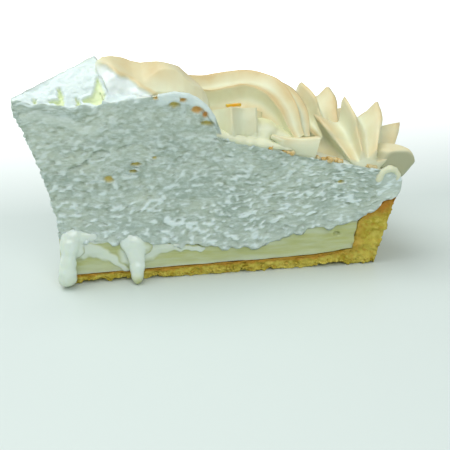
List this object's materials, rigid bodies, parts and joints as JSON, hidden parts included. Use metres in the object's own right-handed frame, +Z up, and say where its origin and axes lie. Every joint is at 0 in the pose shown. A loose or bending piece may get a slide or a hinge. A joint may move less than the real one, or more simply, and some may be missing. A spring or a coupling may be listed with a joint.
{
  "type": "slice of lemon meringue pie",
  "caption": "Cut wedge of lemon meringue pie: pastry base and rim, lemon filling, tall foamy meringue and browned piped swirls on top.",
  "frame": {"origin": "point on the flat underside of the pastry, near the middle of the slice, where it rests on a plate", "axes": "+X from the point of the slice along the near cut face to the pastry rim, +Y from the near cut face towards the far one, +Z up"},
  "size_m": [0.1415, 0.0785, 0.0763],
  "materials": {
    "pastry": "crumbly baked shortcrust, browner at the rim",
    "lemon_filling": "smooth moist lemon cream",
    "meringue": "cut and torn white foam",
    "toasted_meringue": "smooth piped meringue, lightly browned"
  },
  "bodies": {
    "root": {"pastry_crust": "pastry", "lemon_filling": "lemon_filling", "meringue": "meringue", "piped_crown": "toasted_meringue", "piped_rosette": "toasted_meringue", "rosette_heart": "toasted_meringue", "rosette_fin": "toasted_meringue", "piped_shell_near": "toasted_meringue", "piped_lip": "toasted_meringue", "piped_shell_far": "toasted_meringue", "piped_star_far": "toasted_meringue"}
  },
  "joints": []
}
